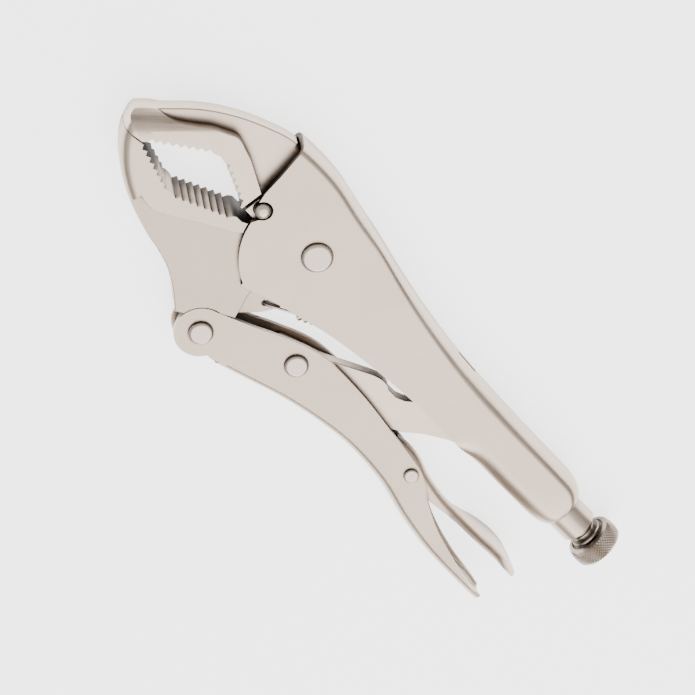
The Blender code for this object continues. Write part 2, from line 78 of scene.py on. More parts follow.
class Value:
    """A shader output that takes part in Python sums."""

    def __init__(self, tree, socket):
        self.tree, self.socket = tree, socket

    def sum_with(self, operation, first, second):
        node = self.tree.nodes.new("ShaderNodeMath")
        node.operation = operation
        for slot, given in zip(node.inputs, (first, second)):
            if isinstance(given, Value):
                self.tree.links.new(given.socket, slot)
            else:
                slot.default_value = given
        return Value(self.tree, node.outputs[0])

    def __add__(self, other):
        return self.sum_with("ADD", self, other)

    def __radd__(self, other):
        return self.sum_with("ADD", other, self)

    def __sub__(self, other):
        return self.sum_with("SUBTRACT", self, other)

    def __rsub__(self, other):
        return self.sum_with("SUBTRACT", other, self)

    def __mul__(self, other):
        return self.sum_with("MULTIPLY", self, other)

    def __rmul__(self, other):
        return self.sum_with("MULTIPLY", other, self)

    def least(self, other):
        return self.sum_with("MINIMUM", self, other)

    def times(self, other):
        """This colour multiplied by the other."""
        node = self.tree.nodes.new("ShaderNodeMix")
        node.data_type, node.blend_type = "RGBA", "MULTIPLY"
        node.inputs[0].default_value = 1.0
        self.tree.links.new(self.socket, node.inputs[6])
        self.tree.links.new(other.socket, node.inputs[7])
        return Value(self.tree, node.outputs[2])


class Surface:
    """A material built up from nodes on its Principled shader, a bare metal unless told otherwise."""

    def __init__(self, name, **constants):
        self.material = bpy.data.materials.new(name)
        self.material.use_nodes = True
        self.tree = self.material.node_tree
        self.shader = self.tree.nodes["Principled BSDF"]
        self.shader.inputs["Metallic"].default_value = 1.0
        for socket, value in constants.items():
            self.shader.inputs[socket].default_value = value
        self.place = self.node("ShaderNodeTexCoord", "Object")

    def node(self, kind, output=0, settings=None, **given):
        """A node of this kind: its settings first, then its inputs, by name or as input_0 and so on."""
        node = self.tree.nodes.new(kind)
        for key, value in (settings or {}).items():
            setattr(node, key, value)
        for key, value in given.items():
            slot = node.inputs[int(key[6:]) if key.startswith("input_") else key.replace("_", " ")]
            if isinstance(value, Value):
                self.tree.links.new(value.socket, slot)
            else:
                slot.default_value = value
        return Value(self.tree, node.outputs[output])

    def noise(self, size_mm, detail=2.0, stretch=(1, 1, 1), rough=0.5):
        """Noise with features of about this size; stretch draws them out along an axis."""
        place = self.node("ShaderNodeMapping", Vector=self.place, Scale=tuple(1 / s for s in stretch))
        return self.node("ShaderNodeTexNoise", "Fac", Vector=place, Scale=1000 / size_mm, Detail=detail,
                         Roughness=rough)

    def between(self, factor, dark, light):
        return self.node("ShaderNodeMix", 2, {"data_type": "RGBA"}, Factor=factor, input_6=(*dark, 1.0),
                         input_7=(*light, 1.0))

    def spread(self, factor, low, high):
        """The part of factor between low and high, from 0 to 1."""
        return self.node("ShaderNodeMapRange", 0, {"interpolation_type": "SMOOTHSTEP"}, Value=factor,
                         From_Min=low, From_Max=high)

    def give(self, socket, value):
        self.tree.links.new(value.socket, self.shader.inputs[socket])


def satin_nickel(name, light, dark, shadow, roughness, lines_along=(60, 1, 1), line_depth=0.25, sunk=None):
    """Satin nickel: cloudy tone, painted shade in corners and hollows, a painted dark reflection on upright
    walls beside hollows, fine grain and drawn lines. Faces nearer the middle plane than sunk millimetres get
    a darker base colour as painted shade."""
    metal = Surface(name)
    clouds = metal.spread(metal.noise(22, 3.0), 0.32, 0.68)
    specks = metal.spread(metal.noise(1.1, 3.0), 0.25, 0.75)
    tone = metal.between(clouds * 0.7 + specks * 0.3, dark, light)
    # painted shade: ambient occlusion pulls the base colour towards the shadow colour in corners and hollows,
    # and upright walls beside hollows get a painted dark reflection
    corners = metal.node("ShaderNodeAmbientOcclusion", "AO", {"samples": 8}, Distance=CORNER_REACH)
    hollows = metal.node("ShaderNodeAmbientOcclusion", "AO", {"samples": 8}, Distance=HOLLOW_REACH)
    flatness = metal.node("ShaderNodeMath", 0, {"operation": "ABSOLUTE"}, input_0=metal.node(
        "ShaderNodeSeparateXYZ", "Z", Vector=metal.node("ShaderNodeTexCoord", "Normal")))
    upright = 1 - metal.spread(flatness, 0.35, 0.85)
    shaded_walls = 1 - upright * (1 - metal.spread(hollows, 0.55, 1.0))
    painted_shade = metal.spread(corners, 0.15, 0.85).least(metal.spread(hollows, 0.05, 0.50)).least(shaded_walls)
    # painted shade: faces nearer the middle plane than sunk get a darker base colour
    if sunk:
        depth = metal.node("ShaderNodeSeparateXYZ", "Z", Vector=metal.place) - MIDDLE
        depth = metal.node("ShaderNodeMath", 0, {"operation": "ABSOLUTE"}, input_0=depth)
        proud = metal.spread(depth, (sunk - 0.6) * MM, (sunk + 0.6) * MM)
        tone = metal.between(proud, SUNK_SHADE, FULL).times(tone)
    tone = metal.node("ShaderNodeMix", 2, {"data_type": "RGBA"}, Factor=painted_shade, input_6=(*shadow, 1.0),
                      input_7=tone)
    metal.give("Base Color", tone)
    lines = metal.noise(0.35, 2.0, lines_along, 0.6)
    grain = metal.noise(0.3, 2.0)
    low, high = roughness
    metal.give("Roughness", low + (high - low) * (clouds * 0.5 + lines * 0.5) + (1 - painted_shade) * 0.12)
    height = lines * line_depth + grain * 0.35 + specks * 0.4
    metal.give("Normal", metal.node("ShaderNodeBump", 0, Height=height, Strength=0.25, Distance=0.00002))
    return metal.material


def smooth_through(points, steps):
    """A Catmull-Rom line through the points."""
    line = []
    for i in range(len(points) - 1):
        near, far = Vector(points[i]), Vector(points[i + 1])
        before, after = Vector(points[max(i - 1, 0)]), Vector(points[min(i + 2, len(points) - 1)])
        for k in range(steps):
            t = k / steps
            line.append(tuple(0.5 * (2 * near + (far - before) * t
                                     + (2 * before - 5 * near + 4 * far - after) * t * t
                                     + (3 * near - before - 3 * far + after) * t ** 3)))
    return line + [tuple(points[-1])]


def keyed(keys, x):
    """The smooth value at x between (x, value) keys."""
    line = smooth_through(keys, 12)
    for (xa, ya), (xb, yb) in zip(line, line[1:]):
        if x <= xb:
            return ya + (yb - ya) * min(max((x - xa) / (xb - xa), 0.0), 1.0)
    return line[-1][1]


def arc(centre, radius, start, end, steps):
    """Points round a circle, from one angle in degrees to another."""
    turns = [math.radians(start + (end - start) * i / steps) for i in range(steps + 1)]
    return [(centre[0] + radius * math.cos(a), centre[1] + radius * math.sin(a)) for a in turns]


def placed(name, form):
    """A form drawn in millimetres about the main pivot's middle, as an object in metres in the frame."""
    form.transform(Matrix.Translation((0.0, 0.0, MIDDLE)) @ Matrix.Scale(MM, 4))
    mesh = bpy.data.meshes.new(name)
    form.to_mesh(mesh)
    form.free()
    piece = bpy.data.objects.new(name, mesh)
    bpy.context.scene.collection.objects.link(piece)
    return piece


def skin(name, chains):
    """An open sheet through chains of (x, y, z) points, its faces turned away from the middle plane."""
    form = bmesh.new()
    rows = []
    for chain in chains:
        row = [form.verts.new(point) for point in chain]
        rows.append([form.edges.new(pair) for pair in zip(row, row[1:])])
    for row, after in zip(rows, rows[1:]):
        bmesh.ops.bridge_loops(form, edges=row + after)
    bmesh.ops.remove_doubles(form, verts=form.verts, dist=WELD)
    bmesh.ops.recalc_face_normals(form, faces=form.faces)
    if sum(face.normal.z * face.calc_center_median().z * face.calc_area() for face in form.faces) < 0:
        bmesh.ops.reverse_faces(form, faces=form.faces)
    return placed(name, form)


def blank(name, outline, low, high, edge=0.0, segments=3, turn=Matrix.Identity(4)):
    """A flat blank between two heights, cut to an outline, its rims rounded, then turned into place."""
    form = bmesh.new()
    face = form.faces.new([form.verts.new((x, y, low)) for x, y in outline])
    top = bmesh.ops.extrude_face_region(form, geom=[face])["geom"]
    bmesh.ops.translate(form, verts=[v for v in top if isinstance(v, bmesh.types.BMVert)],
                        vec=(0, 0, high - low))
    bmesh.ops.recalc_face_normals(form, faces=form.faces)
    if edge:
        rims = [e for e in form.edges if abs(e.verts[0].co.z - e.verts[1].co.z) < 1e-4]
        bmesh.ops.bevel(form, geom=rims, offset=edge, segments=segments, affect="EDGES", profile=0.5,
                        material=-1, clamp_overlap=True)
    bmesh.ops.transform(form, matrix=turn, verts=form.verts)
    if turn.is_negative:
        bmesh.ops.reverse_faces(form, faces=form.faces)
    return placed(name, form)


def bar(name, centre, radius, low=-12.0, high=12.0, sides=64):
    """A round bar along Z, longer than the tool is thick, to punch or drill with."""
    form = bmesh.new()
    bmesh.ops.create_cone(form, cap_ends=True, segments=sides, radius1=radius, radius2=radius,
                          depth=high - low, matrix=Matrix.Translation((*centre, (low + high) / 2)))
    return placed(name, form)


def worked(piece, *steps):
    """Works a piece with modifiers in turn, given as a kind and its settings, and clears the tools away."""
    tools = []
    for kind, settings in steps:
        modifier = piece.modifiers.new(kind.lower(), kind)
        for key, value in settings.items():
            setattr(modifier, key, value)
        if kind == "BOOLEAN":
            tools.append(settings["object"])
    graph = bpy.context.evaluated_depsgraph_get()
    mesh = bpy.data.meshes.new_from_object(piece.evaluated_get(graph))
    piece.modifiers.clear()
    piece.data = mesh
    for tool in tools:
        bpy.data.objects.remove(tool)
    return piece


def less(tool):
    """The step that cuts the tool away."""
    return "BOOLEAN", {"object": tool, "operation": "DIFFERENCE", "solver": "EXACT"}


def plus(tool):
    """The step that joins the tool on."""
    return "BOOLEAN", {"object": tool, "operation": "UNION", "solver": "EXACT"}


def within(tool):
    """The step that keeps only what is inside the tool."""
    return "BOOLEAN", {"object": tool, "operation": "INTERSECT", "solver": "EXACT"}


def walls(thickness):
    """The step that gives an open sheet its thickness, inwards."""
    return "SOLIDIFY", {"thickness": thickness * MM, "offset": -1.0, "use_even_offset": True}


def broken_edges(width, angle=40, segments=2):
    """Sharp edges taken off, as tumbling does."""
    return "BEVEL", {"width": width * MM, "segments": segments, "limit_method": "ANGLE",
                     "angle_limit": math.radians(angle), "use_clamp_overlap": True}


def finished(piece, metal, body, slot, *nodes):
    piece.data.materials.clear()
    piece.data.materials.append(metal)
    piece.data.shade_smooth()
    piece.data.set_sharp_from_angle(angle=SHARP)
    piece.modifiers.new("even_shading", "WEIGHTED_NORMAL").keep_sharp = True
    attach(piece, body)
    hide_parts(*nodes)
    return piece


CREST = [(-38, 24.2), (-27, 24.8), (-15, 24.3), (0, 21.4), (15, 18.3), (30, 15.2), (45, 12.7),
         (60, 10.8), (80, 9.4), (100, 8.6), (120, 8.1), (134, 7.8)]
CREASE = [(-38, 21.0), (-27, 21.6), (-15, 21.0), (0, 18.2), (15, 16.1), (30, 12.6), (45, 9.6),
          (60, 7.3), (80, 5.0), (100, 4.2), (120, 4.2), (134, 4.0)]
LOWER_EDGE = [(-38, -28.0), (-12, -27.2), (-3, -24.5), (10, -21.0), (30, -16.4), (55, -13.4),
              (80, -12.0), (100, -12.8), (112, -13.4), (134, -13.3)]
CLOSING = (92.0, 110.0)
HANDLE_FRONT, HANDLE_STEPS = -38, 58
SHOULDER_START, SHOULDER_END = 134, 143.0
BEND_TURNS = [math.radians(9 * k) for k in range(11)]
FOLD_TURNS = [math.radians(7.5 * k) for k in range(13)]
SCREW_Y = PIVOT["knob_spin"].y
TUBE_RADIUS = 6.95
TUBE_END = 152.9
PIN = ((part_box("locating_pin")[0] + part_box("locating_pin")[1]) / 2 / MM)[:2]


def bend_reach(half, depth, sheet):
    """How far a bend of this depth comes in from the side, its radius kept above the sheet's thickness."""
    return min(half, depth ** 2 / (sheet + 0.2))


def handle_chain(x, crest, crease, lower, half, closed):
    """Round the fixed handle's section at x, over the crest; closed runs from 0, a channel, to 1, a tube."""
    arch, fold = crest - crease, min(half, crease - lower)
    reach = bend_reach(half, arch, SHEET)
    side = [(crest, 0.0)]
    for turn in BEND_TURNS:
        side.append((crease + arch * math.cos(turn), half - reach * (1 - math.sin(turn))))
    for turn in FOLD_TURNS:
        side.append((lower + fold * (1 - math.sin(turn)), half * (1 - closed * (1 - math.cos(turn)))))
    return [(x, y, -z) for y, z in side[::-1]] + [(x, y, z) for y, z in side[1:]]


handle_chains = []
for step in range(HANDLE_STEPS + 1):
    x = HANDLE_FRONT + step * (SHOULDER_START - HANDLE_FRONT) / HANDLE_STEPS
    shut = min(max((x - CLOSING[0]) / (CLOSING[1] - CLOSING[0]), 0.0), 1.0)
    shape = [keyed(CREST, x), keyed(CREASE, x), keyed(LOWER_EDGE, x), BODY_HALF]
    handle_chains.append(handle_chain(x, *shape, shut * shut * (3 - 2 * shut)))
tube = [SCREW_Y + TUBE_RADIUS, SCREW_Y, SCREW_Y - TUBE_RADIUS, TUBE_RADIUS]
for turn in (math.radians(a) for a in (15, 25, 35, 45, 54, 62, 70, 77, 84, 90)):
    part = 1 - math.cos(turn)
    handle_chains.append(handle_chain(SHOULDER_START + (SHOULDER_END - SHOULDER_START) * math.sin(turn),
                                      *[a + (b - a) * part for a, b in zip(shape, tube)], 1.0))
handle_chains.append(handle_chain(TUBE_END, *tube, 1.0))

nickel_sheet = satin_nickel("nickel_sheet", (0.61, 0.49, 0.395), (0.52, 0.415, 0.335), (0.05, 0.040, 0.033),
                            (0.31, 0.42))
handle_front = ([(-60, 40), (-36, 40), (-35.4, 24), (-34.6, 19), (-33.0, 11), (-31.8, 3)]
                + arc(PIN, 3.7, 160, -62, 20) + arc(MAIN, 27.6, 197, 249, 24) + [(-9.6, -60), (-60, -60)])
fixed_handle = worked(skin("handle_shell", handle_chains), walls(SHEET),
                      less(blank("front_die", handle_front, -12, 12)),
                      less(bar("main_punch", MAIN, MAIN_HOLE)),
                      less(blank("slit_tool", [(68, 14), (78, 14), (78, 5), (68, 5)], -0.9, 0.9)),
                      broken_edges(0.3))
finished(fixed_handle, nickel_sheet, "frame", "nickel_plate", "fixed_handle")

# ---------------------------------------------------------------- upper jaw
# A plated steel forging with a wide toothed band, a rounded nose and a thin web behind it. Its root fills
# the handle's channel above the lower jaw's boss, and the locating pin goes through it. The teeth are
# broached square across.

WEB_HALF = 3.2
CORE_HALF = BODY_HALF - SHEET - CLEARANCE
NOSE_ROUND = 4.0
TOOTH_PITCH, TOOTH_DEPTH = 3.0, 1.3
NOSE = [(-84.4, -5.4), (-86.2, -7.4), (-86.5, -10.4), (-85.4, -13.8), (-83.0, -18.6), (-79.7, -22.4),
        (-75.2, -26.4), (-70.2, -29.8), (-64.5, -32.8), (-58.4, -35.2), (-51.5, -37.3), (-44.7, -39.0),
        (-37.3, -40.4)]


def teeth(start, end, side):
    """V teeth from start to end, cut to the left of that direction where side is +1."""
    a, b = Vector(start), Vector(end)
    count = round((b - a).length / TOOTH_PITCH)
    along = (b - a) / count
    inward = Vector((-along.y, along.x)).normalized() * side * TOOTH_DEPTH
    cuts = []
    for i in range(count):
        cuts += [tuple(a + along * i), tuple(a + along * (i + 0.5) + inward)]
    return cuts + [tuple(b)]


def form_of(curve, line, closed):
    """What a curve's settings make of a line of (x, y, z) points, as a form."""
    spline = curve.splines.new("POLY")
    spline.points.add(len(line) - 1)
    for point, spot in zip(spline.points, line):
        point.co = (*spot, 1.0)
    spline.use_cyclic_u = closed
    guide = bpy.data.objects.new("guide", curve)
    bpy.context.scene.collection.objects.link(guide)
    graph = bpy.context.evaluated_depsgraph_get()
    form = bmesh.new()
    form.from_mesh(bpy.data.meshes.new_from_object(guide.evaluated_get(graph)))
    bpy.data.objects.remove(guide)
    bmesh.ops.remove_doubles(form, verts=form.verts, dist=WELD)
    return form


def nose_die(name):
    """The rounded outer form of both jaws together."""
    line = smooth_through(NOSE, 2) + [(-31, -43), (-10, -75), (60, -75), (60, 45), (-50, 45), (-72, 12)]
    curve = bpy.data.curves.new(name, "CURVE")
    curve.dimensions, curve.fill_mode = "2D", "BOTH"
    curve.extrude, curve.bevel_depth, curve.offset = BODY_HALF - NOSE_ROUND, NOSE_ROUND, -NOSE_ROUND
    curve.bevel_resolution = 6
    form = form_of(curve, [(x, y, 0.0) for x, y in line], True)
    bmesh.ops.recalc_face_normals(form, faces=form.faces)
    return placed(name, form)


forged_nickel = satin_nickel("forged_nickel", (0.66, 0.53, 0.43), (0.58, 0.465, 0.375), (0.045, 0.036, 0.030),
                             (0.28, 0.40), (1, 1, 40), 0.4)
upper_band = ([(-88, -17.2), (-81.4, -16.2), (-76.6, -15.4)] + teeth((-75.3, -14.1), (-56.1, -0.2), +1)
              + [(-53.4, 0.9)] + teeth((-50.5, 0.3), (-34.2, -6.2), +1)
              + [(-33.6, -7.0), (-32.8, -7.0), (-32.6, 1.8)]
              + smooth_through([(-35.4, 3.2), (-40.4, 5.5), (-45.1, 7.6), (-49.5, 8.9), (-53.0, 9.9),
                                (-55.5, 9.7), (-58.8, 8.1), (-63.2, 5.8), (-67.4, 2.4), (-73.0, -1.8),
                                (-77.2, -3.6), (-80.5, -4.3), (-83.0, -6.0), (-85.0, -8.0)], 4)
              + [(-88, -11.5)])
web_spine = smooth_through([(-84.6, -7.6), (-82.3, -5.6), (-78.4, -1.6), (-72.9, 4.2), (-67.5, 8.8),
                            (-61.4, 12.9), (-54.7, 16.5), (-46.5, 19.9), (-41.5, 21.6), (-36.9, 22.5)], 4)
boss_hollow = arc(MAIN, 12.6, 60, 188, 30)
web_outline = (web_spine + [(-36.2, 21.4), (-26, 21.9), (-15, 21.4), (-2, 18.8), (7, 16.6), (7, 14.0)]
               + boss_hollow + [(-23.4, -7.1), (-32.0, -7.1), (-36, -2), (-52, 6), (-66, -3), (-78, -12),
                                (-84, -11)])
root_outline = ([(-27.2, 6.0), (-29.8, 18.6), (-14, 18.6), (-2, 16.6), (7, 14.8), (7, 14.0)] + boss_hollow
                + [(-23.4, -7.1), (-30.6, -7.1), (-30.6, 3.0)])


def shoulder_die(face):
    """A scoop that slopes the band's nose down to the web, along the line where the web's wall dies out."""
    profile = [(-1.2, 8.0), (0.2, 7.6), (1.5, 6.8), (2.6, 5.6), (3.4, 4.6), (4.4, 3.9), (6.0, 3.5), (12, 3.4),
               (12, 14), (-1.2, 14)]
    down_slope, along_band = Vector((-0.7071, 0.7071, 0.0)), Vector((0.7071, 0.7071, 0.0))
    axes = Matrix((down_slope, (0, 0, face), along_band)).transposed().to_4x4()
    return blank("shoulder_scoop", profile, -16, 24, turn=Matrix.Translation((-78.9, -10.2, 0.0)) @ axes)


upper_jaw = worked(blank("upper_band", upper_band, -BODY_HALF, BODY_HALF, 0.3, 2),
                   within(nose_die("upper_die")), less(shoulder_die(1)), less(shoulder_die(-1)),
                   plus(blank("web", web_outline, -WEB_HALF, WEB_HALF, 0.8, 4)),
                   plus(blank("root", root_outline, -CORE_HALF, CORE_HALF, 0.4, 2)),
                   less(bar("pin_drill", PIN, 3.4)))
finished(upper_jaw, forged_nickel, "frame", "nickel_plate", "upper_jaw")

# ---------------------------------------------------------------- lower jaw
# The moving forging: the same toothed band on a thick neck, a round boss on the main rivet, a narrow tail
# between the movable handle's ears, and a thin lug at the rear that holds the spring's hook.

TAIL_HALF, LUG_HALF = 3.1, 2.0
HOOK, HOOK_HOLE = (4.3, -26.8), 1.4
lower_band = ([(-88, -17.5), (-81.4, -16.5)] + teeth((-75.4, -15.6), (-56.0, -20.6), -1)
              + teeth((-53.6, -20.6), (-33.0, -11.3), -1) + [(-31.6, -10.3), (-29.0, -10.3)]
              + arc(MAIN, 28.3, 199, 207, 6)
              + smooth_through([(-27.6, -15.0), (-37.2, -20.5), (-43.6, -24.4), (-48.5, -27.4),
                                (-52.9, -29.6), (-57.0, -30.0), (-60.9, -29.3)], 4)
              + [(-62, -50), (-88, -50)])
neck_outline = (smooth_through([(-60, -40.0), (-44.7, -38.9), (-37.3, -40.2), (-31.9, -41.8), (-26.2, -44.6),
                                (-21.1, -47.9), (-16.6, -51.2)], 4)
                + arc(JAW, 10.1, 176, 96, 16)
                + [(-1.2, -38.2), (0.0, -37.4), (-1.9, -32.6), (-3.7, -28.8), (-4.6, -25.3), (-3.0, -19),
                   (3, -15)]
                + arc(MAIN, 12.2, -60, 194, 48)
                + [(-23, -7.7), (-27.0, -9.6), (-35, -13.6), (-48, -19.6), (-56, -22.6), (-64, -21)])
tail_outline = arc(JAW, 8.2, 170, 400, 40) + [(-2.4, -35), (-12, -35), (-14, -42)]
lug_outline = [(-8, -16), (6, -17), (10.0, -21), (9.4, -24.4), (7.8, -27.6), (6.2, -30.4), (3.4, -33.6),
               (0.4, -37.0), (-8, -36)]
lower_jaw = worked(blank("lower_band", lower_band, -BODY_HALF, BODY_HALF, 0.3, 2),
                   plus(blank("neck", neck_outline, -CORE_HALF, CORE_HALF, 0.5, 3)),
                   within(nose_die("lower_die")),
                   plus(blank("tail", tail_outline, -TAIL_HALF, TAIL_HALF, 0.3, 2)),
                   plus(blank("lug", lug_outline, -LUG_HALF, LUG_HALF, 0.3, 2)),
                   less(bar("main_drill", MAIN, MAIN_HOLE)), less(bar("jaw_drill", JAW, RIVET_HOLE)),
                   less(bar("hook_drill", HOOK, HOOK_HOLE)))
# the lower jaw's nickel: its sunk neck, tail and lug are painted darker as shade
sunk_shade_nickel = satin_nickel("sunk_shade_nickel", (0.62, 0.50, 0.405), (0.54, 0.435, 0.35), (0.045, 0.036, 0.030),
                           (0.30, 0.42), (1, 1, 40), 0.4, sunk=7.0)
finished(lower_jaw, sunk_shade_nickel, "lower_jaw", "nickel_plate", "lower_jaw")

# ---------------------------------------------------------------- rivets and locating pin
# Solid steel rivets, their heads pressed flat and a little crowned, each standing proud of its wall. The
# pin that sets the upper jaw in the handle is headless, with domed ends.

rivet_steel = satin_nickel("rivet_steel", (0.60, 0.50, 0.42), (0.52, 0.43, 0.36), (0.045, 0.032, 0.024),
                           (0.20, 0.30), (1, 1, 1), 0.2)
HANDLE_HALF = 5.2
RIM = 0.15  # the straight edge of a rivet's head


def spin_profile(form, profile, sides=96):
    """Spins a profile of (radius, height), from top to bottom, about Z."""
    line = [form.verts.new((r, 0.0, h)) for r, h in profile]
    edges = [form.edges.new(pair) for pair in zip(line, line[1:])]
    bmesh.ops.spin(form, geom=line + edges, cent=(0, 0, 0), axis=(0, 0, 1), angle=2 * math.pi, steps=sides,
                   use_merge=True)
    bmesh.ops.remove_doubles(form, verts=form.verts, dist=WELD)
    bmesh.ops.recalc_face_normals(form, faces=form.faces)


def spun(name, profile, centre):
    """A turned piece that stands at a centre in the tool's plane."""
    form = bmesh.new()
    spin_profile(form, profile)
    bmesh.ops.translate(form, verts=form.verts, vec=(*centre, 0.0))
    return placed(name, form)


def rivet(name, centre, shank, head, face, wall, body, node):
    """A rivet through walls this far from the middle, with a crowned head on each side that ends at face."""
    under = wall + CLEARANCE
    crown = [(head * (0.7 + 0.3 * math.cos(a)), under + RIM + (face - under - RIM) * math.sin(a))
             for a in (math.radians(d) for d in range(0, 91, 10))]
    rim = [(head, under)] + crown + [(0.0, face)]
    profile = rim[::-1] + [(shank, under), (shank, -under)] + [(r, -h) for r, h in rim]
    finished(spun(name, profile, centre), rivet_steel, body, "rivet_steel", node)


rivet("main_rivet_turned", MAIN, 4.5, 5.75, 9.6, BODY_HALF, "frame", "main_rivet")
rivet("jaw_rivet_turned", JAW, 3.0, 4.55, 6.8, HANDLE_HALF, "lower_jaw", "jaw_rivet")
rivet("link_rivet_turned", LINK, 3.0, 4.4, 6.8, HANDLE_HALF, "movable_handle", "link_rivet")
rivet("lever_rivet_turned", LEVER, 1.9, 2.8, 6.4, HANDLE_HALF, "movable_handle", "lever_rivet")

PIN_RADIUS, PIN_END, PIN_DOME = 3.1, 9.3, 1.6
dome = [(PIN_RADIUS * math.sin(a), PIN_END - PIN_DOME * (1 - math.cos(a)))
        for a in (math.radians(d) for d in range(0, 91, 9))]
finished(spun("pin_turned", dome + [(r, -h) for r, h in dome[::-1]], PIN), rivet_steel, "frame",
         "rivet_steel", "locating_pin")

# ---------------------------------------------------------------- movable handle
# The second channel, of the same sheet, open towards the fixed handle. Its sides run on at the front as
# two round ears on the jaw rivet, and it flares a little at the tip for the hand.

TOP = [(-15, -46.5), (-7.5, -41.6), (-2.8, -39.5), (8.1, -34.9), (15.2, -31.5), (28.2, -26.2),
       (39.6, -24.4), (56.8, -24.8), (72.8, -26.6), (92.1, -29.2), (100, -32.3), (105, -35.6),
       (117.7, -41.0), (133.7, -45.0), (149, -46.9)]
CROWN = [(8, -56.2), (21.7, -52.0), (37.9, -47.1), (55.7, -43.6), (70, -42.4), (87.7, -43.6),
         (104.5, -47.3), (121, -49.6), (137.6, -49.9), (149, -49.4)]
WIDTH = [(10, HANDLE_HALF), (112, HANDLE_HALF), (128, 5.8), (142, 6.6), (149, 4.6)]
WEB_START, HANDLE_TIP, HANDLE_SLICES = 10.4, 149, 64


def channel_chain(x, edge, crown, half, most, sheet):
    """Round a channel from one free edge, over the crown, to the other."""
    depth = min(most, abs(crown - edge) - 0.1)
    reach = bend_reach(half, depth, sheet)
    inward = math.copysign(depth, crown - edge)
    side = [(edge, half)]
    for turn in BEND_TURNS:
        side.append((crown - inward * (1 - math.sin(turn)), half - reach * (1 - math.cos(turn))))
    return [(x, y, z) for y, z in side] + [(x, y, -z) for y, z in side[::-1]]


channel_chains = []
for step in range(HANDLE_SLICES):
    x = WEB_START + step * (HANDLE_TIP - WEB_START) / (HANDLE_SLICES - 1)
    channel_chains.append(channel_chain(x, keyed(TOP, x), keyed(CROWN, x), keyed(WIDTH, x), 3.6, SHEET))
ears = arc(JAW, 9.6, 104, 333, 60) + [(7.4, -54.4), (WEB_START, -53.2), (13.0, -52.6), (13.0, -32.6),
                                      (8.1, -34.9), (-2.8, -39.5)]
ear_gap = [(-20, -30), (14, -30), (14, -50), (WEB_START, -50), (WEB_START, -70), (-20, -70)]
movable_handle = worked(skin("channel_shell", channel_chains), walls(SHEET),
                        plus(blank("ears", ears, -HANDLE_HALF, HANDLE_HALF)),
                        less(blank("ear_tool", ear_gap, SHEET - HANDLE_HALF, HANDLE_HALF - SHEET)),
                        less(bar("jaw_punch", JAW, RIVET_HOLE)), less(bar("link_punch", LINK, RIVET_HOLE)),
                        less(bar("lever_punch", LEVER, LEVER_HOLE)), broken_edges(0.3))
channel_nickel = satin_nickel("channel_nickel", (0.575, 0.46, 0.37), (0.495, 0.395, 0.315),
                              (0.05, 0.040, 0.033), (0.31, 0.42))
finished(movable_handle, channel_nickel, "movable_handle", "nickel_plate", "movable_handle")

# ---------------------------------------------------------------- toggle link
# A flat strut, blanked from 5 mm plate. It hangs on the link rivet between the movable handle's walls, and
# its rounded tip stands just short of the adjusting screw's end, inside the fixed handle.

LINK_HALF = 2.5
link_outline = (smooth_through([(19.5, -31.6), (28.2, -28.4), (36.5, -25.6), (44.9, -21.4), (50.1, -18.8),
                                (54.0, -17.0), (57.5, -16.2), (60.4, -16.5)], 4)
                + [(61.4, -17.2), (65.6, -17.2), (68.8, -15.9), (80, -6.0), (90, -0.6)]
                + arc((94.6, SCREW_Y), 3.4, 90, -50, 16)
                + smooth_through([(97.4, -9.0), (96.0, -13.4), (93.1, -14.3), (87.2, -17.7), (82.6, -20.8),
                                  (78.6, -24.4)], 4)
                + smooth_through([(72, -28.6), (58, -33.6), (44, -38.2), (33, -40.4), (26, -39.6),
                                  (20.5, -36.6), (18.0, -33.6)], 4))
toggle_link = worked(blank("link_plate", link_outline, -LINK_HALF, LINK_HALF, 0.35, 3),
                     less(bar("link_drill", LINK, RIVET_HOLE)))
finished(toggle_link, forged_nickel, "toggle_link", "nickel_plate", "toggle_link")

# ---------------------------------------------------------------- release lever
# A small pressing of 1.3 mm steel: a trough with its sides on the lever rivet, whose nose pushes the link
# off centre, and a dished paddle for the thumb or finger behind it.

LEVER_CROWN = [(79.4, -27.4), (85, -26.6), (92, -27.4), (100, -29.8), (111, -31.4), (120, -31.0),
               (128, -30.2), (135, -29.5), (141, -29.7), (147, -31.0), (152, -32.6)]
LEVER_EDGE = [(79.4, -31.4), (85, -36.0), (92.6, -37.8), (104.8, -36.0), (112, -35.0), (120, -33.6),
              (128, -32.6), (138, -32.0), (146, -33.0), (152, -34.4)]
LEVER_WIDTH = [(79.4, 3.1), (110, 3.1), (118, 4.8), (127, 8.3), (134, 9.3), (141, 8.8), (147, 6.0),
               (152, 2.0)]
LEVER_FRONT, LEVER_TIP, LEVER_SLICES = 79.4, 152, 60
LEVER_DEPTH, LEVER_SHEET = 2.4, 1.3
lever_chains = []
for step in range(LEVER_SLICES):
    x = LEVER_FRONT + step * (LEVER_TIP - LEVER_FRONT) / (LEVER_SLICES - 1)
    lever_chains.append(channel_chain(x, keyed(LEVER_EDGE, x), keyed(LEVER_CROWN, x), keyed(LEVER_WIDTH, x),
                                      LEVER_DEPTH, LEVER_SHEET))
release_lever = worked(skin("lever_shell", lever_chains), walls(LEVER_SHEET),
                       less(bar("lever_drill", LEVER, LEVER_HOLE)), broken_edges(0.2))
finished(release_lever, nickel_sheet, "release_lever", "nickel_plate", "release_lever")
